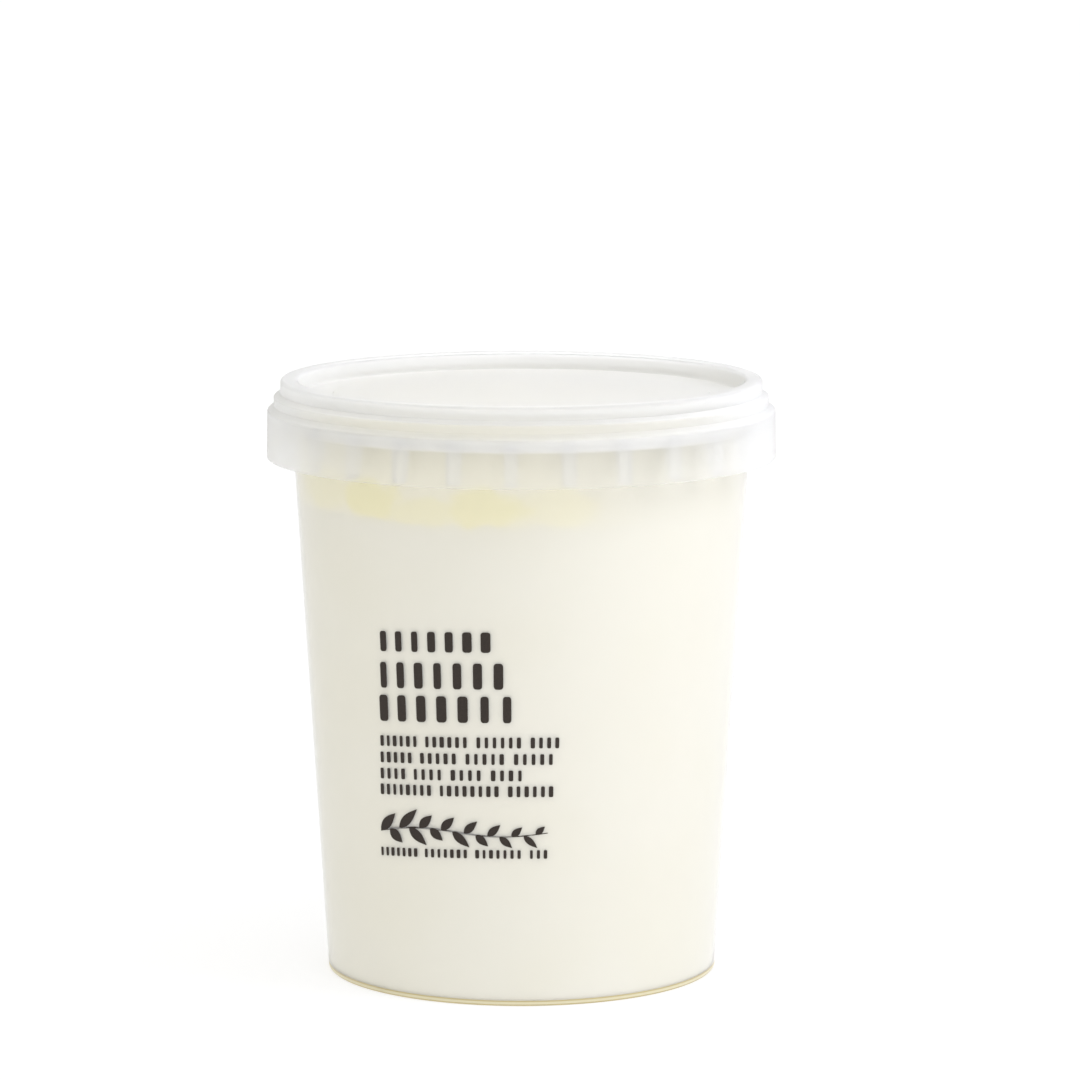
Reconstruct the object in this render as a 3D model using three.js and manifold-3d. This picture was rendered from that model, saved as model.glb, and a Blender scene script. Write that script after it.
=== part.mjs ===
import * as THREE from 'three';
import { mergeVertices } from 'three/addons/utils/BufferGeometryUtils.js';
import Module from 'manifold-3d';

// A shut tub of natural yogurt: a clear tapered tub with a frosted press-on lid, filled with
// yogurt under a layer of risen cream. Millimetres, +Z up, origin at the centre of the foot,
// front towards -Y. Every piece is a shape turned about the Z axis.

// The tub
const FOOT_RADIUS = 45.5;
const WALL_TAPER = 0.0616; // growth of the outer radius for each millimetre of height
const TUB_WALL = 0.7;
const TUB_HEIGHT = 137.8;
const FLOOR_RISE = 0.45; // height of the floor's underside over the table
const FLOOR_THICKNESS = 0.75;
const FLOOR_CORNER = 1.2; // radius of the corner between floor and wall, inside
const FOOT_RING_WIDTH = 1.9;
const GATE_MARK_RADIUS = 1.6; // moulding mark under the middle of the floor
const GATE_MARK_HEIGHT = 0.25;
const CURTAIN_RADIUS = 57; // the collar that the lid snaps under
const CURTAIN_EDGE = 129;
const COLLAR_TOP = 131.6;
const RIM_BEAD_RADIUS = 54.95;
const RIM_BEAD_HEIGHT = 1.4;

// The lid
const LID_WALL = 0.7;
const LID_HEIGHT = 139.1; // top of the stacking ring over the table
const SKIRT_RADIUS = 59.25;
const SKIRT_EDGE = 120.9;
const SKIRT_TOP = 131.9;
const SKIRT_DRAFT = 0.13;
const STEP_RADIUS = 57.6; // the narrower tier over the skirt
const STEP_BASE = 133.1;
const STEP_TOP = 135;
const RING_RADIUS = 56.1; // the stacking ring on top
const RING_BASE = 136;
const RECESS_RADIUS = 51.95;
const RECESS_FLOOR = 135.1;
const RECESS_DRAFT = 0.25;
const PANEL_RADIUS = 43.6; // raised middle of the lid
const PANEL_RISE = 0.6;
const SLOPE_DROP = 0.5; // drop from a slope's outer face to its underside

// The ribs inside the skirt, each with a snap lug that grips under the collar
const RIB_COUNT = 28;
const RIB_WIDTH = 3;
const RIB_PHASE = -2.3; // degrees from the front to the nearest rib
const RIB_RADIUS = 57.35;
const RIB_SETBACK = 0.5; // from the skirt's edge up to the rib
const RIB_RAMP = 0.8;
const LUG_RADIUS = 56.3;
const LUG_TOP = 128.6;
const LUG_HEIGHT = 1.2;

// The contents
const CREAM_BASE = 111.4;
const FILL_LEVEL = 131.2;
const MENISCUS_HEIGHT = 0.4;
const MENISCUS_WIDTH = 1.5;

// Roundings of the edges, and what holds for every piece
const FINE_ROUND = 0.2;
const EDGE_ROUND = 0.35;
const SOFT_ROUND = 0.55;
const CREST_ROUND = 0.9;
const FIT_GAP = 0.3; // air between pieces that touch
const SEGMENTS = 56;

const wasm = await Module();
wasm.setup();

/** Outer radius of the tub's wall at a height. */
function wallRadius(z) {
  return FOOT_RADIUS + WALL_TAPER * z;
}

/** Inner radius of the tub's wall at a height. */
function boreRadius(z) {
  return wallRadius(z) - TUB_WALL;
}

/** Radius of the contents at a height, just inside the wall. */
function fillRadius(z) {
  return boreRadius(z) - FIT_GAP;
}

/** Number of straight steps in a rounded corner. */
function cornerSteps(radius) {
  if (radius < SOFT_ROUND) return 1;
  return radius < CREST_ROUND ? 2 : 3;
}

/** Outline from corners [r, z] or [r, z, rounding], each rounded corner being a short curve. */
function outline(corners) {
  const points = [];
  corners.forEach(([r, z, rounding], index) => {
    const corner = new THREE.Vector2(r, z);
    if (!rounding) {
      points.push(corner);
      return;
    }
    const before = new THREE.Vector2(corners[index - 1][0], corners[index - 1][1]);
    const after = new THREE.Vector2(corners[index + 1][0], corners[index + 1][1]);
    const toBefore = before.sub(corner).normalize();
    const toAfter = after.sub(corner).normalize();
    const halfAngle = Math.acos(toBefore.dot(toAfter)) / 2;
    const tangent = rounding / Math.tan(halfAngle);
    const start = corner.clone().addScaledVector(toBefore, tangent);
    const end = corner.clone().addScaledVector(toAfter, tangent);
    const curve = new THREE.QuadraticBezierCurve(start, corner, end);
    points.push(...curve.getPoints(cornerSteps(rounding)));
  });
  return points;
}

/** Closed solid of a geometry, with its shared vertices merged. */
function solidOf(geometry) {
  geometry.deleteAttribute('normal');
  geometry.deleteAttribute('uv');
  const merged = mergeVertices(geometry);
  const vertProperties = new Float32Array(merged.attributes.position.array);
  const triVerts = new Uint32Array(merged.index.array);
  return new wasm.Manifold(new wasm.Mesh({ numProp: 3, vertProperties, triVerts }));
}

/** Geometry of a solid. */
function geometryOf(solid) {
  const { vertProperties, triVerts } = solid.getMesh();
  const geometry = new THREE.BufferGeometry();
  geometry.setAttribute('position', new THREE.BufferAttribute(vertProperties, 3));
  geometry.setIndex(new THREE.BufferAttribute(triVerts, 1));
  geometry.computeVertexNormals();
  return geometry;
}

/** Solid turned about the Z axis from an outline that starts and ends on it. */
function turned(points) {
  const geometry = new THREE.LatheGeometry(points, SEGMENTS);
  geometry.rotateX(Math.PI / 2);
  return solidOf(geometry);
}

/** Tub: gate mark, foot ring, tapered wall, collar with its curtain, rim bead and bore. */
function makeTub() {
  const floorTop = FLOOR_RISE + FLOOR_THICKNESS;
  const footRingInside = FOOT_RADIUS - FOOT_RING_WIDTH;
  const gateMarkFace = FLOOR_RISE - GATE_MARK_HEIGHT;
  const collarUnderside = COLLAR_TOP - TUB_WALL;
  const curtainInside = CURTAIN_RADIUS - TUB_WALL;
  const beadBase = TUB_HEIGHT - RIM_BEAD_HEIGHT;
  return turned(outline([
    [0, gateMarkFace],
    [GATE_MARK_RADIUS, gateMarkFace],
    [GATE_MARK_RADIUS + GATE_MARK_HEIGHT, FLOOR_RISE],
    [footRingInside - FLOOR_RISE, FLOOR_RISE],
    [footRingInside, 0],
    [FOOT_RADIUS, 0, SOFT_ROUND],
    [wallRadius(collarUnderside), collarUnderside, EDGE_ROUND],
    [curtainInside, collarUnderside, EDGE_ROUND],
    [curtainInside, CURTAIN_EDGE],
    [CURTAIN_RADIUS, CURTAIN_EDGE, FINE_ROUND],
    [CURTAIN_RADIUS, COLLAR_TOP, SOFT_ROUND],
    [wallRadius(COLLAR_TOP), COLLAR_TOP, EDGE_ROUND],
    [wallRadius(beadBase), beadBase],
    [RIM_BEAD_RADIUS, beadBase, EDGE_ROUND],
    [RIM_BEAD_RADIUS, TUB_HEIGHT, SOFT_ROUND],
    [boreRadius(TUB_HEIGHT), TUB_HEIGHT, EDGE_ROUND],
    [boreRadius(floorTop), floorTop, FLOOR_CORNER],
    [0, floorTop],
  ]));
}

/** Lid without its ribs: panel, plug, channel for the rim, tiers and skirt. */
function makeLidShell() {
  const recessUnderside = RECESS_FLOOR - LID_WALL;
  const plugRadius = RECESS_RADIUS + LID_WALL;
  const channelTop = LID_HEIGHT - LID_WALL;
  const ringInside = RING_RADIUS - LID_WALL;
  const stepInside = STEP_RADIUS - LID_WALL;
  const skirtInside = SKIRT_RADIUS - LID_WALL;
  return turned(outline([
    [0, recessUnderside + PANEL_RISE],
    [PANEL_RADIUS, recessUnderside + PANEL_RISE],
    [PANEL_RADIUS + PANEL_RISE, recessUnderside],
    [plugRadius, recessUnderside, SOFT_ROUND],
    [plugRadius, channelTop, EDGE_ROUND],
    [ringInside, channelTop, EDGE_ROUND],
    [ringInside, RING_BASE - SLOPE_DROP],
    [stepInside, STEP_TOP - SLOPE_DROP],
    [stepInside, STEP_BASE - SLOPE_DROP],
    [skirtInside - SKIRT_DRAFT, SKIRT_TOP - SLOPE_DROP, EDGE_ROUND],
    [skirtInside, SKIRT_EDGE, FINE_ROUND],
    [SKIRT_RADIUS, SKIRT_EDGE, FINE_ROUND],
    [SKIRT_RADIUS - SKIRT_DRAFT, SKIRT_TOP, SOFT_ROUND],
    [STEP_RADIUS, STEP_BASE, EDGE_ROUND],
    [STEP_RADIUS, STEP_TOP, EDGE_ROUND],
    [RING_RADIUS, RING_BASE, EDGE_ROUND],
    [RING_RADIUS, LID_HEIGHT, CREST_ROUND],
    [RECESS_RADIUS, LID_HEIGHT, CREST_ROUND],
    [RECESS_RADIUS - RECESS_DRAFT, RECESS_FLOOR, SOFT_ROUND],
    [PANEL_RADIUS + PANEL_RISE, RECESS_FLOOR],
    [PANEL_RADIUS, RECESS_FLOOR + PANEL_RISE],
    [0, RECESS_FLOOR + PANEL_RISE],
  ]));
}

/** One rib of the skirt, at an angle in degrees from the front. */
function makeRib(angle) {
  const root = SKIRT_RADIUS - LID_WALL / 2;
  const foot = SKIRT_EDGE + RIB_SETBACK;
  const head = SKIRT_TOP - LID_WALL;
  const side = new THREE.Shape([
    new THREE.Vector2(root, foot),
    new THREE.Vector2(RIB_RADIUS, foot + RIB_RAMP),
    new THREE.Vector2(LUG_RADIUS, LUG_TOP - LUG_HEIGHT),
    new THREE.Vector2(LUG_RADIUS, LUG_TOP),
    new THREE.Vector2(RIB_RADIUS, LUG_TOP),
    new THREE.Vector2(RIB_RADIUS, head),
    new THREE.Vector2(root, head),
  ]);
  const geometry = new THREE.ExtrudeGeometry(side, { depth: RIB_WIDTH, bevelEnabled: false });
  geometry.translate(0, 0, -RIB_WIDTH / 2);
  geometry.rotateX(Math.PI / 2);
  geometry.rotateZ(THREE.MathUtils.degToRad(angle - 90));
  return solidOf(geometry);
}

/** Lid with its ribs fused inside the skirt. */
function makeLid() {
  let lid = makeLidShell();
  for (let index = 0; index < RIB_COUNT; index += 1) {
    lid = lid.add(makeRib(RIB_PHASE + (360 / RIB_COUNT) * index));
  }
  return lid;
}

/** Yogurt from the floor up to the cream. */
function makeYogurt() {
  const base = FLOOR_RISE + FLOOR_THICKNESS + FIT_GAP;
  const top = CREAM_BASE - FIT_GAP / 2;
  return turned(outline([
    [0, base],
    [fillRadius(base), base, FLOOR_CORNER],
    [fillRadius(top), top],
    [0, top],
  ]));
}

/** Layer of risen cream over the yogurt, with a meniscus at the wall. */
function makeCream() {
  const base = CREAM_BASE + FIT_GAP / 2;
  const edge = FILL_LEVEL + MENISCUS_HEIGHT;
  return turned(outline([
    [0, base],
    [fillRadius(base), base],
    [fillRadius(edge), edge],
    [fillRadius(edge) - MENISCUS_WIDTH / 2, FILL_LEVEL + MENISCUS_HEIGHT / 4],
    [fillRadius(edge) - MENISCUS_WIDTH, FILL_LEVEL],
    [0, FILL_LEVEL],
  ]));
}

/** Named mesh of a solid with its own material. */
function piece(name, solid, material) {
  const mesh = new THREE.Mesh(geometryOf(solid), new THREE.MeshStandardMaterial(material));
  mesh.name = name;
  return mesh;
}

const clearPlastic = { color: 0xeeefec, roughness: 0.18, metalness: 0, transparent: true, opacity: 0.35 };
const frostedPlastic = { color: 0xe9e9e6, roughness: 0.35, metalness: 0, transparent: true, opacity: 0.7 };
const whiteYogurt = { color: 0xf1eddf, roughness: 0.45, metalness: 0 };
const yellowCream = { color: 0xf1e9c4, roughness: 0.4, metalness: 0 };

const group = new THREE.Group();
group.add(
  piece('tub', makeTub(), clearPlastic),
  piece('lid', makeLid(), frostedPlastic),
  piece('yogurt', makeYogurt(), whiteYogurt),
  piece('cream_layer', makeCream(), yellowCream),
);

export default group;
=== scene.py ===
"""Looks of a shut tub of natural yogurt.

A clear tapered tub with a frosted press-on lid holds white yogurt under a layer of risen cream, and
its front carries a charcoal print of plain marks. Sizes are in millimetres until a mesh is made, and
meshes are in metres, with +Z up and the printed front towards -Y.
"""

import logging
import math
from dataclasses import dataclass
from enum import Enum
from typing import Any, Sequence

import bpy
import numpy as np
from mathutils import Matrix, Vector


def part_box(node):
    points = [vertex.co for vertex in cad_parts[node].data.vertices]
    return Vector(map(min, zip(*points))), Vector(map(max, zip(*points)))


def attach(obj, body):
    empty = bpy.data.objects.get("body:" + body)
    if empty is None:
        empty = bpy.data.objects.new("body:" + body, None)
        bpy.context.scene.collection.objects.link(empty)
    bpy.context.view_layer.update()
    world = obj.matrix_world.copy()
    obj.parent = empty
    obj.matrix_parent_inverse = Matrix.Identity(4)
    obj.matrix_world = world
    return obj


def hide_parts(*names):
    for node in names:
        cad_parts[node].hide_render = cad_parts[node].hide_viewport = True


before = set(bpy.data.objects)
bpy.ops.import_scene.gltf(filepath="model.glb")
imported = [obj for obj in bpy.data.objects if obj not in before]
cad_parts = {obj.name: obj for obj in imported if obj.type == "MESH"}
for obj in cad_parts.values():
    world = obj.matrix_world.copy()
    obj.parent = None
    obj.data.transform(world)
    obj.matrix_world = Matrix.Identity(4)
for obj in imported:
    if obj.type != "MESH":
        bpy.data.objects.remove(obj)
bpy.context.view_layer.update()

MM = 0.001
BODY = "root"
SEAM_DROP = 0.15
log = logging.getLogger("yogurt_tub")

Colour = tuple[float, float, float]
Corner = tuple[float, ...]


class Slot(Enum):
    """Names of the material slots, which are logged."""

    CLEAR = "clear_plastic"
    FROSTED = "frosted_plastic"
    YOGURT = "yogurt"
    CREAM = "cream"
    INK = "print_ink"


def reach(node: str) -> tuple[float, float, float]:
    """Measures a CAD node of round shape.

    Args:
        node: Name of the CAD node.

    Returns:
        Its largest radius, its lowest and its highest level, in millimetres.
    """
    low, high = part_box(node)
    return high.x / MM, low.z / MM, high.z / MM


class Value:
    """A value in a node tree, on which Python's operators add Math nodes."""

    def __init__(self, bench: "Bench", socket: bpy.types.NodeSocket) -> None:
        """Wraps an output socket of a bench's tree."""
        self.bench = bench
        self.socket = socket

    def maths(self, operation: str, *values: Any) -> "Value":
        """Adds a Math node.

        Args:
            operation: The node's operation.
            values: Numbers or values for its sockets, in order.

        Returns:
            The node's result.
        """
        inputs = dict(enumerate(values))
        return self.bench.add("ShaderNodeMath", inputs, operation=operation)

    def __add__(self, other: Any) -> "Value":
        """Sum with a number or value."""
        return self.maths("ADD", self, other)

    __radd__ = __add__

    def __sub__(self, other: Any) -> "Value":
        """Difference to a number or value."""
        return self.maths("SUBTRACT", self, other)

    def __rsub__(self, other: Any) -> "Value":
        """Difference from a number or value."""
        return self.maths("SUBTRACT", other, self)

    def __mul__(self, other: Any) -> "Value":
        """Product with a number or value."""
        return self.maths("MULTIPLY", self, other)

    __rmul__ = __mul__

    def __truediv__(self, other: Any) -> "Value":
        """Quotient by a number or value."""
        return self.maths("DIVIDE", self, other)

    def __rtruediv__(self, other: Any) -> "Value":
        """Quotient of a number or value by this one."""
        return self.maths("DIVIDE", other, self)

    def __neg__(self) -> "Value":
        """The value with its sign turned."""
        return self.maths("MULTIPLY", self, -1.0)

    def floor(self) -> "Value":
        """The whole part of the value."""
        return self.maths("FLOOR", self)

    def sine(self) -> "Value":
        """Sine of the value in radians."""
        return self.maths("SINE", self)

    def cosine(self) -> "Value":
        """Cosine of the value in radians."""
        return self.maths("COSINE", self)

    def power(self, exponent: float) -> "Value":
        """The value raised to an exponent."""
        return self.maths("POWER", self, exponent)

    def clamped(self) -> "Value":
        """The value held between 0 and 1."""
        return self.maths("MINIMUM", self.maths("MAXIMUM", self, 0.0), 1.0)

    def step(self, low: float, high: float) -> "Value":
        """Smooth step from 0 to 1.

        Args:
            low: Where the step leaves 0.
            high: Where the step reaches 1.

        Returns:
            The eased share of the way from low to high.
        """
        inputs = {"Value": self, "From Min": low, "From Max": high}
        return self.bench.add("ShaderNodeMapRange", inputs, interpolation_type="SMOOTHSTEP")

    def passing(self, level: float, blend: float) -> "Value":
        """Smooth step from 0 to 1 where the value passes a level, over a blend to both sides."""
        return self.step(level - blend, level + blend)

    def output(self, name: str) -> "Value":
        """Another output of the node that gives this value."""
        return Value(self.bench, self.socket.node.outputs[name])


def find(sockets: Any, key: Any) -> bpy.types.NodeSocket:
    """Finds one of a node's sockets by its identifier, its name or its place."""
    named = {socket.identifier: socket for socket in sockets}
    return named[key] if key in named else sockets[key]


class Bench:
    """A node tree under construction, with one method for every kind of node."""

    def __init__(self, tree: bpy.types.NodeTree) -> None:
        """Takes a tree and clears it."""
        self.tree = tree
        tree.nodes.clear()

    def feed(self, socket: bpy.types.NodeSocket, value: Any) -> None:
        """Links a value to a socket, or sets a plain one on it."""
        if isinstance(value, Value):
            self.tree.links.new(value.socket, socket)
        else:
            socket.default_value = opaque(value) if socket.type == "RGBA" else value

    def add(self, kind: str, inputs: dict | None = None, output: Any = 0, **settings: Any) -> Value:
        """Adds a node.

        Args:
            kind: The node's type.
            inputs: Values by the name, identifier or place of the node's sockets.
            output: Name or place of the output that is returned.
            settings: The node's own settings.

        Returns:
            The chosen output, or nothing from a node that has none.
        """
        node = self.tree.nodes.new(kind)
        for name, setting in settings.items():
            setattr(node, name, setting)
        for key, value in (inputs or {}).items():
            self.feed(find(node.inputs, key), value)
        return Value(self, find(node.outputs, output)) if node.outputs else None

    def mix(self, share: Any, first: Any, second: Any) -> Value:
        """Mixes two colours by a share of the second."""
        inputs = {"Factor_Float": share, "A_Color": first, "B_Color": second}
        return self.add("ShaderNodeMix", inputs, "Result", data_type="RGBA")

    def place(self) -> Value:
        """Object coordinates of the shaded point, in metres."""
        return self.add("ShaderNodeTexCoord", output="Object")

    def parts(self, vector: Value) -> tuple[Value, Value, Value]:
        """The three numbers of a vector."""
        x = self.add("ShaderNodeSeparateXYZ", {0: vector}, "X")
        return x, x.output("Y"), x.output("Z")

    def noise(
        self, vector: Value, size: float, detail: float = 0.0, stretch: Corner = (1, 1, 1)
    ) -> Value:
        """Adds a noise pattern.

        Args:
            vector: Where the pattern is read.
            size: Width of its blotches, in millimetres.
            detail: Number of finer layers.
            stretch: Factors on the three coordinates.

        Returns:
            The pattern, from 0 to 1.
        """
        scaled = self.add("ShaderNodeVectorMath", {0: vector, 1: stretch}, operation="MULTIPLY")
        inputs = {"Vector": scaled, "Scale": 1 / (size * MM), "Detail": detail}
        return self.add("ShaderNodeTexNoise", inputs)

    def bump(self, height: Value, depth: float, strength: float = 1.0) -> Value:
        """Adds relief.

        Args:
            height: Height from 0 to 1.
            depth: What 1 stands for, in millimetres.
            strength: Share of the relief that shows.

        Returns:
            The bent normal.
        """
        inputs = {"Height": height, "Distance": depth * MM, "Strength": strength}
        return self.add("ShaderNodeBump", inputs)

    def facing(self) -> Value:
        """How edge-on the surface is seen, from 0 straight on to 1 along it."""
        return self.add("ShaderNodeLayerWeight", {"Blend": 0.5}, "Facing")

    def principled(self, inputs: dict) -> Value:
        """Adds the surface shader."""
        return self.add("ShaderNodeBsdfPrincipled", inputs)


def opaque(colour: Colour) -> tuple[float, float, float, float]:
    """A colour with full alpha."""
    return (*colour, 1.0)


def material(name: str) -> tuple[bpy.types.Material, Bench]:
    """Starts a material.

    Args:
        name: Its name.

    Returns:
        The material and the bench of its tree.
    """
    made = bpy.data.materials.new(name)
    made.use_nodes = True
    return made, Bench(made.node_tree)


def finish_surface(bench: Bench, shader: Value) -> None:
    """Connects a shader to the material's output."""
    bench.add("ShaderNodeOutputMaterial", {"Surface": shader})


@dataclass(frozen=True)
class ClearPlastic:
    """Clear polypropylene of the tub, denser where it is seen edge-on, and yellow at its thick foot:
    partly its own tint, partly painted shade, with two painted shade lines.

    A veil is the share of the plastic's own look, and the rest shows what is behind it.
    """

    tint: Colour = (0.95, 0.95, 0.935)
    # Foot colour is partly the thick plastic's own tint and partly painted shade; the line colour is
    # painted shade for the dark refraction edges in the thick corner.
    foot_tint_and_shade: Colour = (0.87, 0.8, 0.55)
    shade_line_tint: Colour = (0.58, 0.47, 0.2)
    foot_height: float = 1.2
    line_width: float = 0.25
    roughness: float = 0.29
    streak_size: float = 3.0
    streak_stretch: Corner = (1, 1, 0.08)
    streak_depth: float = 0.05
    refraction: float = 1.6
    veil: float = 0.3
    foot_veil: float = 0.85
    collar_veil: float = 0.35
    collar_edge: float = 128.95
    collar_blend: float = 0.05
    edge_power: float = 5

    def material(self) -> bpy.types.Material:
        """Builds the material."""
        made, bench = material("clear_polypropylene")
        place = bench.place()
        level = bench.parts(place)[2] / MM
        streaks = bench.noise(place, self.streak_size, stretch=self.streak_stretch)
        foot = 1 - level.step(self.foot_height, self.foot_height + self.line_width)
        # Painted shade: two darker yellow lines, at the bottom of the foot and at its top, stand for
        # dark refraction edges in the thick corner.
        low_shade_line = 1 - level.step(self.line_width, self.line_width * 2)
        high_shade_line = level.step(self.foot_height - self.line_width * 1.5, self.foot_height)
        thick = bench.mix(low_shade_line + high_shade_line, self.foot_tint_and_shade, self.shade_line_tint)
        edge = bench.facing().power(self.edge_power)
        collar = level.passing(self.collar_edge, self.collar_blend)
        veil = self.veil + foot * (self.foot_veil - self.veil)
        veil = veil + collar * (self.collar_veil - self.veil)
        shader = bench.principled({
            "Base Color": bench.mix(foot, self.tint, thick),
            "Roughness": self.roughness + streaks * self.streak_depth,
            "IOR": self.refraction,
            "Alpha": veil + (1 - veil) * edge,
        })
        finish_surface(bench, shader)
        return made


@dataclass(frozen=True)
class FrostedPlastic:
    """Frosted polypropylene of the lid: it blurs what is behind it, and turns milky seen edge-on.

    A band high on the skirt is frosted more, from frosted_from up to skirt_top.
    """

    name: str = "frosted_polypropylene"
    tint: Colour = (1.0, 1.0, 0.995)
    milky_tint: Colour = (0.955, 0.955, 0.95)
    roughness: float = 0.3
    cloud_size: float = 14.0
    cloud_depth: float = 0.12
    grain_size: float = 0.5
    grain_depth: float = 0.02
    grain_share: float = 0.35
    refraction: float = 1.01
    clearness: float = 0.95
    veil: float = 0.6
    skirt_veil: float = 0.75
    skirt_top: float = 131.9
    skirt_blend: float = 1.0
    milky_from: float = 0.15
    milky_full: float = 0.8
    milky_share: float = 0.6
    glow: float = 0.6
    glow_reach: float = 3.0
    frosted_from: float = 129.0
    frosted_blend: float = 0.3
    frosted_share: float = 0.3

    def material(self) -> bpy.types.Material:
        """Builds the material."""
        made, bench = material(self.name)
        place = bench.place()
        level = bench.parts(place)[2] / MM
        roughness = self.roughness + bench.noise(place, self.cloud_size) * self.cloud_depth
        grain = bench.noise(place, self.grain_size)
        relief = bench.bump(grain, self.grain_depth, self.grain_share)
        above = level.passing(self.skirt_top, self.skirt_blend)
        clear = bench.principled({
            "Base Color": self.tint,
            "Roughness": roughness,
            "IOR": self.refraction,
            "Transmission Weight": self.clearness,
            "Alpha": self.skirt_veil + above * (self.veil - self.skirt_veil),
            "Normal": relief,
        })
        milky = bench.principled({
            "Base Color": self.milky_tint,
            "Subsurface Weight": self.glow,
            "Subsurface Radius": (1.0, 1.0, 1.0),
            "Subsurface Scale": self.glow_reach * MM,
            "Roughness": roughness,
            "Normal": relief,
        })
        band = level.passing(self.frosted_from, self.frosted_blend) * (1 - above)
        edge_on = bench.facing().step(self.milky_from, self.milky_full) * self.milky_share
        share = edge_on.maths("MAXIMUM", edge_on, band * self.frosted_share)
        finish_surface(bench, bench.add("ShaderNodeMixShader", {0: share, 1: clear, 2: milky}))
        return made


@dataclass(frozen=True)
class Blotch:
    """A yellow patch of cream on the wall, by its angle from the front and its level.

    The angle and the width are in degrees, the level and the height in millimetres.
    """

    angle: float
    level: float
    width: float
    height: float
    depth: float


@dataclass(frozen=True)
class Milk:
    """Colour of the contents: white yogurt below, yellow cream above, and a soft blotchy border."""

    border: float
    radius: float = 52.0
    white: Colour = (0.91, 0.88, 0.765)
    thin_whey: Colour = (0.9, 0.868, 0.74)
    pale_cream: Colour = (0.975, 0.93, 0.75)
    deep_cream: Colour = (0.98, 0.915, 0.53)
    rag_size: float = 9.0
    rag_detail: float = 2.0
    rag_stretch: Corner = (1, 1, 1.3)
    wander: float = 4.0
    turn_wander: float = 16.0
    softness: float = 0.9
    patch_from: float = -0.3
    patch_full: float = 0.6
    rich_side: float = -0.1
    thin_side: float = 0.7
    thinnest: float = 0.05
    curd_size: float = 26.0
    curd_detail: float = 1.0
    curd_from: float = 0.35
    curd_full: float = 0.7
    blotches: tuple[Blotch, ...] = (
        Blotch(angle=-41, level=115.9, width=11.0, height=5.2, depth=1.0),
        Blotch(angle=-25, level=113.8, width=9.0, height=3.6, depth=0.6),
        Blotch(angle=-9, level=115.6, width=11.0, height=5.0, depth=0.9),
        Blotch(angle=9, level=115.2, width=12.0, height=5.0, depth=0.32),
        Blotch(angle=-62, level=117.5, width=14.0, height=6.0, depth=0.45),
        Blotch(angle=-115, level=117.0, width=16.0, height=8.0, depth=0.8),
        Blotch(angle=-158, level=119.0, width=12.0, height=7.0, depth=0.6),
        Blotch(angle=150, level=117.0, width=15.0, height=8.0, depth=0.7),
        Blotch(angle=98, level=119.0, width=12.0, height=7.0, depth=0.4),
    )

    def yellow(self, level: Value, turn: Value) -> Value:
        """Adds the yellow patches.

        Args:
            level: Level of the shaded point, in millimetres.
            turn: Its angle from the front, in degrees.

        Returns:
            How yellow the cream is, from 0 to 1.
        """
        total = None
        for blotch in self.blotches:
            across = (turn - blotch.angle) / blotch.width
            along = (level - blotch.level) / blotch.height
            inside = 1 - (across * across + along * along)
            patch = inside.step(self.patch_from, self.patch_full) * blotch.depth
            total = patch if total is None else total.maths("MAXIMUM", total, patch)
        return total

    def colour(self, bench: Bench) -> Value:
        """Adds the colour of the contents.

        Args:
            bench: Bench of the material.

        Returns:
            The colour at the shaded point.
        """
        place = bench.place()
        x, y, z = bench.parts(place)
        level = z / MM
        ragged = bench.noise(place, self.rag_size, self.rag_detail, self.rag_stretch) - 0.5
        turn = x.maths("ARCTAN2", x, -y) * math.degrees(1) + ragged * self.turn_wander
        height = level + ragged * self.wander
        cream = height.passing(self.border, self.softness)
        side = x / (self.radius * MM)
        rich = 1 - side.step(self.rich_side, self.thin_side)
        strength = self.thinnest + (1 - self.thinnest) * rich
        patches = self.yellow(height, turn)
        tone = bench.mix(patches, self.pale_cream, self.deep_cream)
        curds = bench.noise(place, self.curd_size, self.curd_detail)
        curds = curds.step(self.curd_from, self.curd_full)
        body = bench.mix(curds, self.white, self.thin_whey)
        return bench.mix(cream * (strength + patches).clamped(), body, tone)


@dataclass(frozen=True)
class Dairy:
    """Surface of the yogurt or the cream."""

    name: str
    milk: Milk
    roughness: float = 0.42
    unevenness: float = 0.1
    curd_size: float = 2.2
    curd_detail: float = 1.0
    relief: float = 0.05
    relief_share: float = 0.5

    def material(self) -> bpy.types.Material:
        """Builds the material."""
        made, bench = material(self.name)
        place = bench.place()
        curds = bench.noise(place, self.curd_size, self.curd_detail)
        shader = bench.principled({
            "Base Color": self.milk.colour(bench),
            "Roughness": self.roughness + curds * self.unevenness,
            "Normal": bench.bump(curds, self.relief, self.relief_share),
        })
        finish_surface(bench, shader)
        return made


@dataclass(frozen=True)
class Ink:
    """Charcoal screen print."""

    colour: Colour = (0.034, 0.026, 0.021)
    lighter: float = 1.35
    roughness: float = 0.55
    unevenness: float = 0.15
    gloss: float = 0.25
    speckle_size: float = 0.4
    speckle_detail: float = 3.0
    speckle_from: float = 0.35
    speckle_full: float = 0.8
    relief: float = 0.01
    relief_share: float = 0.3

    def material(self) -> bpy.types.Material:
        """Builds the material."""
        made, bench = material("charcoal_ink")
        speckle = bench.noise(bench.place(), self.speckle_size, self.speckle_detail)
        speckle = speckle.step(self.speckle_from, self.speckle_full)
        worn = tuple(self.lighter * part for part in self.colour)
        shader = bench.principled({
            "Base Color": bench.mix(speckle, self.colour, worn),
            "Roughness": self.roughness + speckle * self.unevenness,
            "Specular IOR Level": self.gloss,
            "Normal": bench.bump(speckle, self.relief, self.relief_share),
        })
        finish_surface(bench, shader)
        return made


# Largest turn between points of a round, and the turn from which an edge stays sharp
ARC_STEP = math.radians(15)
CREASE = math.radians(35)

# Distance of a supporting point from a round, and how many such distances a stretch needs for one
SUPPORT = 0.12
MIN_SUPPORTS = 4

SEGMENTS = 256


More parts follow.
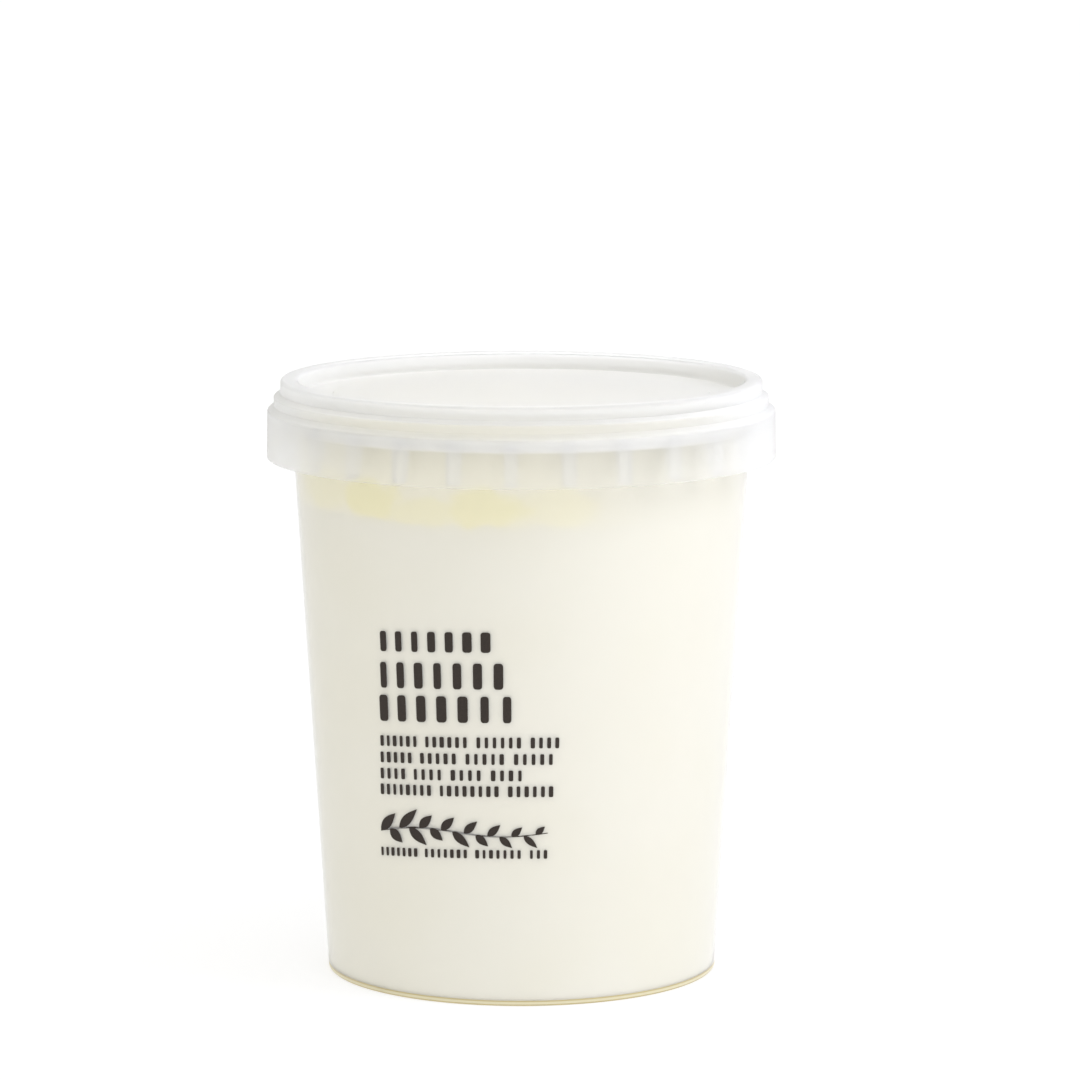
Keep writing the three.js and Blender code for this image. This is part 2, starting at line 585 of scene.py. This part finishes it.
class Round(float, Enum):
    """Roundings of corners, in millimetres, from the sharpest to the softest."""

    HAIR = 0.1
    CRISP = 0.15
    FINE = 0.2
    THIN = 0.25
    SMALL = 0.3
    EDGE = 0.35
    EASY = 0.4
    WIDE = 0.5
    SOFT = 0.55
    BRIM = 0.8
    CREST = 0.9


def arc(before: Vector, corner: Vector, after: Vector, radius: float) -> list[Vector]:
    """Rounds a corner.

    Args:
        before: Point before the corner.
        corner: The corner itself.
        after: Point after the corner.
        radius: Radius of the rounding, in millimetres.

    Returns:
        Points of the round, from one straight stretch to the other.
    """
    to_before = (before - corner).normalized()
    to_after = (after - corner).normalized()
    half = to_before.angle(to_after) / 2
    tangent = radius / math.tan(half)
    centre = corner + (to_before + to_after).normalized() * (radius / math.sin(half))
    start = corner + to_before * tangent - centre
    end = corner + to_after * tangent - centre
    steps = max(2, math.ceil((math.pi - 2 * half) / ARC_STEP))
    turns = (start.slerp(end, index / steps) for index in range(steps + 1))
    return [centre + turn.normalized() * radius for turn in turns]


def outline(corners: Sequence[Corner], spacing: float = math.inf) -> list[Vector]:
    """Draws an outline with rounded corners.

    Args:
        corners: Corners as radius, level and, where it is rounded, rounding.
        spacing: Largest distance between points of a straight stretch.

    Returns:
        Its points, with close ones beside every round, so that flat faces shade flat.
    """
    points: list[Vector] = []
    for index, (radius, level, *rounding) in enumerate(corners):
        corner = Vector((radius, level))
        if rounding:
            before = Vector(corners[index - 1][:2])
            after = Vector(corners[index + 1][:2])
            points += arc(before, corner, after, rounding[0])
        else:
            points.append(corner)
    spread = points[:1]
    for start, end in zip(points, points[1:]):
        run = end - start
        if run.length > MIN_SUPPORTS * SUPPORT:
            along = run.normalized() * SUPPORT
            cuts = max(1, math.ceil(run.length / spacing))
            spread.append(start + along)
            spread += [start + run * (cut / cuts) for cut in range(1, cuts)]
            spread.append(end - along)
        spread.append(end)
    return spread


def turned(name: str, points: Sequence[Vector]) -> bpy.types.Object:
    """Turns an outline that starts and ends on the axis.

    Args:
        name: Name of the piece.
        points: Outline, in millimetres, counter-clockwise round the material.

    Returns:
        The piece, closed and smooth, with its faces pointing out.
    """
    profile = np.array(points[1:-1]) * MM
    turns = np.linspace(0, 2 * math.pi, SEGMENTS, endpoint=False)
    ring_x = np.outer(profile[:, 0], np.cos(turns))
    ring_y = np.outer(profile[:, 0], np.sin(turns))
    ring_z = np.repeat(profile[:, 1], SEGMENTS).reshape(ring_x.shape)
    rings = np.stack([ring_x, ring_y, ring_z], axis=-1).reshape(-1, 3)
    poles = [(0, 0, points[0][1] * MM), (0, 0, points[-1][1] * MM)]
    vertices = [*map(tuple, rings), *poles]
    first_pole, last_pole = len(rings), len(rings) + 1
    faces: list[tuple[int, ...]] = []
    for ring in range(len(profile) - 1):
        low = ring * SEGMENTS
        high = low + SEGMENTS
        for turn in range(SEGMENTS):
            after = (turn + 1) % SEGMENTS
            faces.append((low + turn, low + after, high + after, high + turn))
    top = (len(profile) - 1) * SEGMENTS
    for turn in range(SEGMENTS):
        after = (turn + 1) % SEGMENTS
        faces.append((first_pole, after, turn))
        faces.append((top + turn, top + after, last_pole))
    return piece_of(name, vertices, faces)


def piece_of(name: str, vertices: Sequence, faces: Sequence) -> bpy.types.Object:
    """Makes a smooth object in the scene.

    Args:
        name: Name of the piece.
        vertices: Points, in metres.
        faces: Vertex numbers of each face.

    Returns:
        The object, at the origin.
    """
    mesh = bpy.data.meshes.new(name)
    mesh.from_pydata(vertices, [], faces)
    mesh.shade_smooth()
    piece = bpy.data.objects.new(name, mesh)
    bpy.context.scene.collection.objects.link(piece)
    return piece


def slab_faces(count: int) -> list[tuple[int, ...]]:
    """Faces of a slab between two outlines.

    Args:
        count: Number of points of each outline, the second of which is numbered on from the first.

    Returns:
        Both ends and the sides between them.
    """
    faces = [tuple(reversed(range(count))), tuple(range(count, 2 * count))]
    for index in range(count):
        after = (index + 1) % count
        faces.append((index, after, after + count, index + count))
    return faces


def dress(piece: bpy.types.Object, finish: bpy.types.Material, slot: Slot, *nodes: str) -> None:
    """Gives a finished piece its material and its body, and logs its slot.

    Args:
        piece: The piece.
        finish: Its material.
        slot: Slot that is logged.
        nodes: CAD nodes that it stands for.
    """
    piece.data.materials.clear()
    piece.data.materials.append(finish)
    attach(piece, BODY)
    if nodes:
        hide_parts(*nodes)
    log.info("%s: %d faces, slot %s", piece.name, len(piece.data.polygons), slot.value)


def fix_modifiers(piece: bpy.types.Object) -> None:
    """Turns a piece with modifiers into a plain mesh."""
    graph = bpy.context.evaluated_depsgraph_get()
    mesh = bpy.data.meshes.new_from_object(piece.evaluated_get(graph), depsgraph=graph)
    piece.modifiers.clear()
    piece.data = mesh


class NodeModifier:
    """A Geometry Nodes modifier whose tree is built here and whose inputs have names."""

    kinds = {int: "Int", float: "Float", bpy.types.Material: "Material"}

    def __init__(self, piece: bpy.types.Object, name: str, inputs: dict[str, Any]) -> None:
        """Starts the tree and sets its inputs.

        Args:
            piece: Object that takes the modifier.
            name: Name of the tree.
            inputs: Values of its inputs by their names, with a material among them.
        """
        tree = bpy.data.node_groups.new(name, "GeometryNodeTree")
        self.bench = Bench(tree)
        sockets = tree.interface
        sockets.new_socket("Geometry", in_out="OUTPUT", socket_type="NodeSocketGeometry")
        sockets.new_socket("Geometry", in_out="INPUT", socket_type="NodeSocketGeometry")
        keys = {}
        for label, value in inputs.items():
            kind = f"NodeSocket{self.kinds[type(value)]}"
            keys[label] = sockets.new_socket(label, in_out="INPUT", socket_type=kind).identifier
        self.given = self.bench.add("NodeGroupInput")
        modifier = piece.modifiers.new(name, "NODES")
        modifier.node_group = tree
        for label, value in inputs.items():
            modifier[keys[label]] = value

    def input(self, label: str) -> Value:
        """The value of a named input."""
        return self.given.output(label)

    def close(self, geometry: Value) -> None:
        """Ends the tree with real geometry in its material."""
        real = self.bench.add("GeometryNodeRealizeInstances", {"Geometry": geometry})
        inputs = {"Geometry": real, "Material": self.input("Material")}
        coloured = self.bench.add("GeometryNodeSetMaterial", inputs)
        self.bench.add("NodeGroupOutput", {"Geometry": coloured})


@dataclass
class Tub:
    """Clear tub: gate mark, foot ring, tapered wall, collar with its curtain, and rim bead."""

    collar_radius: float
    top: float
    foot_radius: float = 45.5
    taper: float = 0.0616
    wall: float = 0.7
    floor_rise: float = 0.45
    floor_thickness: float = 0.75
    floor_corner: float = 1.2
    foot_ring: float = 1.9
    gate_radius: float = 1.6
    gate_height: float = 0.25
    curtain_edge: float = 129.0
    collar_top: float = 131.6
    bead_radius: float = 54.95
    bead_height: float = 1.4

    def radius(self, level: float) -> float:
        """Outer radius of the wall at a level."""
        return self.foot_radius + self.taper * level

    def bore(self, level: float) -> float:
        """Inner radius of the wall at a level."""
        return self.radius(level) - self.wall

    @property
    def floor_top(self) -> float:
        """Level of the floor inside."""
        return self.floor_rise + self.floor_thickness

    def corners(self) -> list[Corner]:
        """Corners of the tub's section, from under the floor round to the floor inside."""
        gate_face = self.floor_rise - self.gate_height
        ring_inside = self.foot_radius - self.foot_ring
        under_collar = self.collar_top - self.wall
        curtain_inside = self.collar_radius - self.wall
        bead_base = self.top - self.bead_height
        return [
            (0, gate_face),
            (self.gate_radius, gate_face, Round.HAIR),
            (self.gate_radius + self.gate_height, self.floor_rise, Round.HAIR),
            (ring_inside - self.floor_rise, self.floor_rise, Round.FINE),
            (ring_inside, 0, Round.CRISP),
            (self.foot_radius, 0, Round.SOFT),
            (self.radius(under_collar), under_collar, Round.EDGE),
            (curtain_inside, under_collar, Round.EDGE),
            (curtain_inside, self.curtain_edge, Round.CRISP),
            (self.collar_radius, self.curtain_edge, Round.FINE),
            (self.collar_radius, self.collar_top, Round.WIDE),
            (self.radius(self.collar_top), self.collar_top, Round.EDGE),
            (self.radius(bead_base), bead_base, Round.HAIR),
            (self.bead_radius, bead_base, Round.SMALL),
            (self.bead_radius, self.top, Round.WIDE),
            (self.bore(self.top), self.top, Round.EDGE),
            (self.bore(self.floor_top), self.floor_top, self.floor_corner),
            (0, self.floor_top),
        ]

    def build(self) -> None:
        """Makes the tub and dresses it."""
        piece = turned("tub_shell", outline(self.corners()))
        dress(piece, ClearPlastic().material(), Slot.CLEAR, "tub")


@dataclass
class Lid:
    """Frosted lid: panel, plug, channel for the rim, two tiers, and skirt with its snap ribs."""

    radius: float
    edge: float
    top: float
    wall: float = 0.7
    skirt_top: float = 131.9
    skirt_draft: float = 0.13
    step_radius: float = 57.6
    step_base: float = 133.1
    step_top: float = 135.0
    ring_radius: float = 56.1
    ring_base: float = 136.0
    recess_radius: float = 51.95
    recess_floor: float = 135.1
    recess_draft: float = 0.25
    panel_radius: float = 43.6
    panel_rise: float = 0.6
    slope_drop: float = 0.5
    rib_count: int = 28
    rib_width: float = 3.0
    rib_phase: float = -2.3
    rib_radius: float = 57.35
    rib_setback: float = 0.5
    rib_ramp: float = 0.8
    rib_clearness: float = 0.72
    rib_veil: float = 0.9
    lug_radius: float = 56.3
    lug_top: float = 128.6
    lug_height: float = 1.2

    def corners(self) -> list[Corner]:
        """Corners of the lid's section, from the panel's underside round to its top."""
        under_recess = self.recess_floor - self.wall
        plug = self.recess_radius + self.wall
        channel = self.top - self.wall
        ring_inside = self.ring_radius - self.wall
        step_inside = self.step_radius - self.wall
        skirt_inside = self.radius - self.wall
        return [
            (0, under_recess + self.panel_rise),
            (self.panel_radius, under_recess + self.panel_rise, Round.SMALL),
            (self.panel_radius + self.panel_rise, under_recess, Round.SMALL),
            (plug, under_recess, Round.SOFT),
            (plug, channel, Round.EDGE),
            (ring_inside, channel, Round.EDGE),
            (ring_inside, self.ring_base - self.slope_drop, Round.SMALL),
            (step_inside, self.step_top - self.slope_drop, Round.SMALL),
            (step_inside, self.step_base - self.slope_drop, Round.SMALL),
            (skirt_inside - self.skirt_draft, self.skirt_top - self.slope_drop, Round.EDGE),
            (skirt_inside, self.edge, Round.FINE),
            (self.radius, self.edge, Round.THIN),
            (self.radius - self.skirt_draft, self.skirt_top, Round.SOFT),
            (self.step_radius, self.step_base, Round.SMALL),
            (self.step_radius, self.step_top, Round.EASY),
            (self.ring_radius, self.ring_base, Round.SMALL),
            (self.ring_radius, self.top, Round.CREST),
            (self.recess_radius, self.top, Round.CREST),
            (self.recess_radius - self.recess_draft, self.recess_floor, Round.SOFT),
            (self.panel_radius + self.panel_rise, self.recess_floor, Round.EASY),
            (self.panel_radius, self.recess_floor + self.panel_rise, Round.EASY),
            (0, self.recess_floor + self.panel_rise),
        ]

    def rib(self) -> bpy.types.Object:
        """Makes one rib with its lug, at the front of the skirt."""
        root = self.radius - self.wall / 2
        foot = self.edge + self.rib_setback
        head = self.skirt_top - self.wall
        side = [
            (root, foot),
            (self.rib_radius, foot + self.rib_ramp),
            (self.lug_radius, self.lug_top - self.lug_height),
            (self.lug_radius, self.lug_top),
            (self.rib_radius, self.lug_top),
            (self.rib_radius, head),
            (root, head),
        ]
        half = self.rib_width / 2
        vertices = [
            (across * MM, -radius * MM, level * MM)
            for across in (-half, half)
            for radius, level in side
        ]
        return piece_of("snap_ribs", vertices, slab_faces(len(side)))

    def ribs(self, finish: bpy.types.Material) -> bpy.types.Object:
        """Sets the ribs round the skirt.

        Args:
            finish: Material of the lid.

        Returns:
            All ribs in one mesh.
        """
        rib = self.rib()
        nodes = NodeModifier(rib, "ribs_round_skirt", {
            "Count": self.rib_count, "Phase": math.radians(self.rib_phase), "Material": finish,
        })
        bench = nodes.bench
        turn = bench.add("GeometryNodeInputIndex") * (2 * math.pi) / nodes.input("Count")
        angle = turn + nodes.input("Phase")
        points = bench.add("GeometryNodePoints", {"Count": nodes.input("Count")})
        around = bench.add("ShaderNodeCombineXYZ", {"Z": angle})
        instances = bench.add("GeometryNodeInstanceOnPoints", {
            "Points": points, "Instance": nodes.input("Geometry"), "Rotation": around,
        })
        nodes.close(instances)
        fix_modifiers(rib)
        return rib

    def build(self) -> None:
        """Makes the lid and its ribs and dresses them."""
        piece = turned("lid_shell", outline(self.corners()))
        dress(piece, FrostedPlastic().material(), Slot.FROSTED, "lid")
        thick = FrostedPlastic(
            "thick_polypropylene", clearness=self.rib_clearness, veil=self.rib_veil,
            skirt_veil=self.rib_veil,
        )
        finish = thick.material()
        ribs = self.ribs(finish)
        ribs.data.set_sharp_from_angle(angle=CREASE)
        dress(ribs, finish, Slot.FROSTED, "lid")


@dataclass
class Contents:
    """Yogurt and cream, both reaching just into the tub's wall, so that no air shows behind it."""

    tub: Tub
    border: float
    level: float
    bite: float = 0.2
    meniscus_width: float = 1.5
    meniscus_height: float = 0.4
    spacing: float = 2.0
    cream_roughness: float = 0.36

    def side(self, level: float) -> float:
        """Radius of the contents at a level."""
        return self.tub.bore(level) + self.bite

    def build(self) -> None:
        """Makes the yogurt and the cream and dresses them."""
        milk = Milk(self.border)
        base = self.tub.floor_top - self.bite
        yogurt = turned("yogurt_fill", outline([
            (0, base),
            (self.side(base), base, Round.SMALL),
            (self.side(self.border), self.border),
            (0, self.border),
        ], self.spacing))
        dress(yogurt, Dairy("set_yogurt", milk).material(), Slot.YOGURT, "yogurt")
        brim = self.level - self.meniscus_height
        cream = turned("cream_top", outline([
            (0, self.border),
            (self.side(self.border), self.border),
            (self.side(self.level), self.level),
            (self.side(self.level) - self.meniscus_width, brim, Round.BRIM),
            (0, brim),
        ], self.spacing))
        wetter = Dairy("risen_cream", milk, roughness=self.cream_roughness)
        dress(cream, wetter.material(), Slot.CREAM, "cream_layer")


class Shape(Enum):
    """Shapes of printed marks."""

    BAR = "bar"
    LEAF = "leaf"


@dataclass(frozen=True)
class Row:
    """One printed row of marks: upright bars in groups, or the leaves of a sprig.

    Word is the number of marks in a group, more than there are for a row without groups, and gap
    is the extra space after a group. Tilt turns the marks to both sides in turn, wave lets the row
    swing up and down, and taper is the share of their size that the marks lose along the row.
    """

    name: str
    seed: int
    level: float
    pitch: float
    marks: int = 7
    word: int = 99
    gap: float = 1.3
    width: float = 0.9
    height: float = 2.5
    shape: Shape = Shape.BAR
    tilt: float = 0.0
    wave: float = 0.0
    taper: float = 0.0


@dataclass
class Print:
    """Charcoal print on the tub's front: rows of plain marks over a leafy sprig.

    Every row bows up a little towards the front, and bow says how far its level would fall from
    there within a quarter turn.
    """

    tub: Tub
    edge: float = -32.2
    bow: float = 6.5
    lift: float = 0.05
    sink: float = 0.05
    corner_steps: int = 3
    corner_across: float = 0.3
    corner_along: float = 0.12
    leaf_steps: int = 12
    leaf_belly: float = 0.8
    stem_width: float = 0.45
    stem_taper: float = 0.6
    stem_steps: int = 72
    narrowest: float = 0.8
    widest: float = 1.2
    rows: tuple[Row, ...] = (
        Row("print_title_1", seed=1, level=85.0, pitch=4.3, width=1.9, height=4.7),
        Row("print_title_2", seed=2, level=77.15, pitch=4.79, width=2.0, height=6.0),
        Row("print_title_3", seed=3, level=69.45, pitch=5.12, width=2.1, height=6.1),
        Row("print_line_1", seed=4, level=61.8, pitch=1.85, marks=22, word=6),
        Row("print_line_2", seed=5, level=57.95, pitch=1.97, marks=20, word=5),
        Row("print_line_3", seed=6, level=54.15, pitch=2.03, marks=16, word=4),
        Row("print_line_4", seed=7, level=50.45, pitch=1.85, marks=22, word=8),
        Row(
            "print_line_5", seed=8, level=35.8, pitch=1.6, marks=24, word=7, gap=1.2,
            width=0.75, height=2.0,
        ),
    )
    sprig: Row = Row(
        "print_leaves", seed=9, level=40.8, pitch=2.75, marks=15, width=6.0,
        shape=Shape.LEAF, tilt=42.0, wave=0.9, taper=0.45,
    )

    def left(self, level: float) -> float:
        """Arc length from the front to the rows' common left edge, at a level."""
        radius = self.tub.radius(level)
        return radius * math.asin(self.edge / radius)

    def bar_rim(self) -> list[tuple[float, float]]:
        """Outline of an upright bar of unit size with rounded corners."""
        rim = []
        for corner, (side, end) in enumerate([(1, 1), (-1, 1), (-1, -1), (1, -1)]):
            for step in range(self.corner_steps + 1):
                angle = math.pi / 2 * (corner + step / self.corner_steps)
                x = side * (0.5 - self.corner_across) + self.corner_across * math.cos(angle)
                z = end * (0.5 - self.corner_along) + self.corner_along * math.sin(angle)
                rim.append((x, z))
        return rim

    def leaf_rim(self) -> list[tuple[float, float]]:
        """Outline of a pointed leaf of unit size that grows from the origin."""
        ways = [step / self.leaf_steps for step in range(1, self.leaf_steps)]
        upper = [(way, math.sin(math.pi * way ** self.leaf_belly) / 2) for way in ways]
        lower = [(x, -z) for x, z in reversed(upper)]
        return [(1.0, 0.0), *reversed(upper), (0.0, 0.0), *reversed(lower)]

    def mark(self, row: Row) -> bpy.types.Object:
        """Makes one flat mark of a row, before it is sized and placed."""
        rim = self.leaf_rim() if row.shape is Shape.LEAF else self.bar_rim()
        vertices = [(x, y, z) for y in (-self.sink * MM, self.lift * MM) for x, z in rim]
        return piece_of(row.name, vertices, slab_faces(len(rim)))

    def stem(self) -> bpy.types.Object:
        """Makes the stem that carries the leaves, wrapped round the wall."""
        row = self.sprig
        run = row.pitch * row.marks
        vertices = []
        for out in (-self.sink, self.lift):
            rim = []
            for side in (-1, 1):
                ways = [step / self.stem_steps for step in range(self.stem_steps + 1)]
                for way in ways if side < 0 else reversed(ways):
                    half = side * self.stem_width / 2 * (1 - self.stem_taper * way)
                    angle = (self.left(row.level) + run * way) / self.tub.radius(row.level)
                    middle = row.level - self.bow * (1 - math.cos(angle))
                    level = middle + row.wave * math.sin(2 * math.pi * way) + half
                    radius = self.tub.radius(level) + out
                    rim.append((radius * math.sin(angle), -radius * math.cos(angle), level))
            vertices += [tuple(part * MM for part in point) for point in rim]
        return piece_of("print_stem", vertices, slab_faces(len(vertices) // 2))

    def set_out(self, nodes: NodeModifier) -> Value:
        """Sets a row's marks out on a flat sheet.

        Args:
            nodes: The row's modifier.

        Returns:
            The marks as one flat mesh, with the arc length from the front across it.
        """
        bench = nodes.bench
        index = bench.add("GeometryNodeInputIndex")
        words = (index / nodes.input("Word")).floor()
        across = nodes.input("Left") + index * nodes.input("Pitch") + words * nodes.input("Gap")
        way = index / nodes.input("Marks")
        level = nodes.input("Level") + nodes.input("Wave") * (way * (2 * math.pi)).sine()
        spot = bench.add("ShaderNodeCombineXYZ", {"X": across, "Z": level})
        points = bench.add("GeometryNodePoints", {"Count": nodes.input("Marks"), "Position": spot})
        vary = bench.add("FunctionNodeRandomValue", {
            "Min_001": self.narrowest, "Max_001": self.widest, "Seed": nodes.input("Seed"),
        }, "Value_001", data_type="FLOAT")
        smaller = 1 - way * nodes.input("Shrink")
        size = bench.add("ShaderNodeCombineXYZ", {
            "X": nodes.input("Width") * vary * smaller, "Y": 1.0, "Z": nodes.input("Height") * smaller,
        })
        side = (index / 2 - (index / 2).floor()) * 4 - 1
        turn = bench.add("ShaderNodeCombineXYZ", {"Y": nodes.input("Tilt") * side})
        marks = bench.add("GeometryNodeInstanceOnPoints", {
            "Points": points, "Instance": nodes.input("Geometry"), "Rotation": turn, "Scale": size,
        })
        return bench.add("GeometryNodeRealizeInstances", {"Geometry": marks})

    def wrap(self, nodes: NodeModifier, flat: Value) -> Value:
        """Wraps flat marks round the wall.

        Args:
            nodes: The row's modifier.
            flat: The marks as set out on the flat.

        Returns:
            The marks on the wall, bowed as the row is.
        """
        bench = nodes.bench
        x, y, z = bench.parts(bench.add("GeometryNodeInputPosition"))
        angle = x / (nodes.input("Foot Radius") + nodes.input("Wall Taper") * nodes.input("Level"))
        bowed = z - nodes.input("Bow") * (1 - angle.cosine())
        wall = nodes.input("Foot Radius") + nodes.input("Wall Taper") * bowed
        wrapped = bench.add("ShaderNodeCombineXYZ", {
            "X": (wall + y) * angle.sine(), "Y": -((wall + y) * angle.cosine()), "Z": bowed,
        })
        return bench.add("GeometryNodeSetPosition", {"Geometry": flat, "Position": wrapped})

    def print_row(self, row: Row, ink: bpy.types.Material) -> bpy.types.Object:
        """Prints one row round the wall.

        Args:
            row: What the row holds.
            ink: Material of the ink.

        Returns:
            The row's marks in one mesh.
        """
        piece = self.mark(row)
        start = 0.0 if row.shape is Shape.LEAF else row.width / 2
        nodes = NodeModifier(piece, f"marks_of_{row.name}", {
            "Marks": row.marks,
            "Word": row.word,
            "Pitch": row.pitch * MM,
            "Gap": row.gap * MM,
            "Left": (self.left(row.level) + start) * MM,
            "Level": row.level * MM,
            "Width": row.width * MM,
            "Height": row.height * MM,
            "Tilt": math.radians(row.tilt),
            "Wave": row.wave * MM,
            "Shrink": row.taper,
            "Bow": self.bow * MM,
            "Foot Radius": self.tub.foot_radius * MM,
            "Wall Taper": self.tub.taper,
            "Seed": row.seed,
            "Material": ink,
        })
        nodes.close(self.wrap(nodes, self.set_out(nodes)))
        fix_modifiers(piece)
        return piece

    def build(self) -> None:
        """Prints every row and the sprig, and dresses them."""
        ink = Ink().material()
        pieces = [self.print_row(row, ink) for row in (*self.rows, self.sprig)]
        for piece in (*pieces, self.stem()):
            piece.data.set_sharp_from_angle(angle=CREASE)
            dress(piece, ink, Slot.INK)


@dataclass(frozen=True)
class Lamp:
    """A round soft lamp, in metres and in watts."""

    name: str
    place: Colour
    size: float
    power: float
    colour: Colour


@dataclass
class Studio:
    """Pale floor, soft light and the camera.

    The sky is sky_level bright, and lean adds to it along each of the three axes.
    """

    distance: float = 1281.2
    eye_level: float = 290.8
    pitch: float = 8.432
    yaw: float = -0.194
    focal_pixels: float = 5541.7
    frame_pixels: float = 1080.0
    sensor: float = 36.0
    far_clip: float = 100.0
    floor_size: float = 12000.0
    floor_drop: float = 0.05
    floor_tint: Colour = (0.36, 0.36, 0.36)
    floor_glow: float = 0.68
    sky_level: float = 0.42
    lean: Colour = (0.18, -0.14, 0.865)
    shade_tint: Colour = (1.0, 0.985, 0.92)
    light_tint: Colour = (0.985, 1.0, 1.06)
    tint_slope: float = 0.6
    lamp: Lamp = Lamp(
        "side_lamp", place=(0.3, -0.16, 0.38), size=0.2, power=0.45, colour=(1.0, 1.0, 1.06)
    )
    aim: Colour = (0.0, 0.0, 0.1)

    def camera(self) -> None:
        """Makes the camera at the photograph's viewing angle."""
        data = bpy.data.cameras.new("camera")
        data.sensor_width = self.sensor
        data.lens = self.focal_pixels / self.frame_pixels * self.sensor
        data.clip_end = self.far_clip
        camera = bpy.data.objects.new("camera", data)
        camera.location = (0, -self.distance * MM, self.eye_level * MM)
        camera.rotation_euler = (math.radians(90 - self.pitch), 0, math.radians(self.yaw))
        bpy.context.scene.collection.objects.link(camera)
        bpy.context.scene.camera = camera

    def floor(self) -> None:
        """Lays the floor."""
        half = self.floor_size / 2 * MM
        corners = [(-half, -half, 0), (half, -half, 0), (half, half, 0), (-half, half, 0)]
        floor = piece_of("floor", corners, [(0, 1, 2, 3)])
        made, bench = material("pale_floor")
        shader = bench.principled({
            "Base Color": self.floor_tint,
            "Roughness": 1.0,
            "Specular IOR Level": 0.0,
            "Emission Color": (1.0, 1.0, 1.0),
            "Emission Strength": self.floor_glow,
        })
        finish_surface(bench, shader)
        floor.data.materials.append(made)
        floor.location.z = -self.floor_drop * MM

    def sky(self) -> None:
        """Surrounds the scene with soft light, brightest above, and plain white to the camera."""
        world = bpy.data.worlds.new("studio")
        world.use_nodes = True
        world.cycles.sampling_method = "NONE"
        bpy.context.scene.world = world
        bench = Bench(world.node_tree)
        direction = bench.add("ShaderNodeTexCoord", output="Generated")
        facing = bench.add(
            "ShaderNodeVectorMath", {0: direction, 1: self.lean}, "Value", operation="DOT_PRODUCT"
        )
        across = bench.parts(direction)[0]
        way = (0.5 + across * self.tint_slope).clamped()
        warm = bench.mix(way, self.shade_tint, self.light_tint)
        level = bench.add("ShaderNodeMix", {
            "Factor_Float": 1.0, "A_Color": warm, "B_Color": facing + self.sky_level,
        }, "Result", data_type="RGBA", blend_type="MULTIPLY")
        seen = bench.add("ShaderNodeLightPath", output="Is Camera Ray")
        colour = bench.mix(seen, level, (1.0, 1.0, 1.0))
        background = bench.add("ShaderNodeBackground", {"Color": colour, "Strength": 1.0})
        bench.add("ShaderNodeOutputWorld", {"Surface": background})
        bpy.context.scene.view_settings.view_transform = "Standard"

    def hang(self) -> None:
        """Hangs the soft lamp and aims it at the tub."""
        lamp = self.lamp
        data = bpy.data.lights.new(lamp.name, "AREA")
        data.shape = "DISK"
        data.size = lamp.size
        data.energy = lamp.power
        data.color = lamp.colour
        made = bpy.data.objects.new(lamp.name, data)
        made.location = lamp.place
        towards = Vector(self.aim) - Vector(lamp.place)
        made.rotation_euler = towards.to_track_quat("-Z", "Y").to_euler()
        bpy.context.scene.collection.objects.link(made)

    def build(self) -> None:
        """Sets up the whole studio."""
        self.camera()
        self.floor()
        self.sky()
        self.hang()


def main() -> None:
    """Builds the studio and the tub's pieces in order."""
    logging.basicConfig(level=logging.INFO, format="%(message)s")
    Studio().build()
    collar_radius, _, tub_top = reach("tub")
    tub = Tub(collar_radius, tub_top)
    tub.build()
    _, cream_base, cream_top = reach("cream_layer")
    Contents(tub, cream_base - SEAM_DROP, cream_top).build()
    Lid(*reach("lid")).build()
    Print(tub).build()


if __name__ == "__main__":
    main()
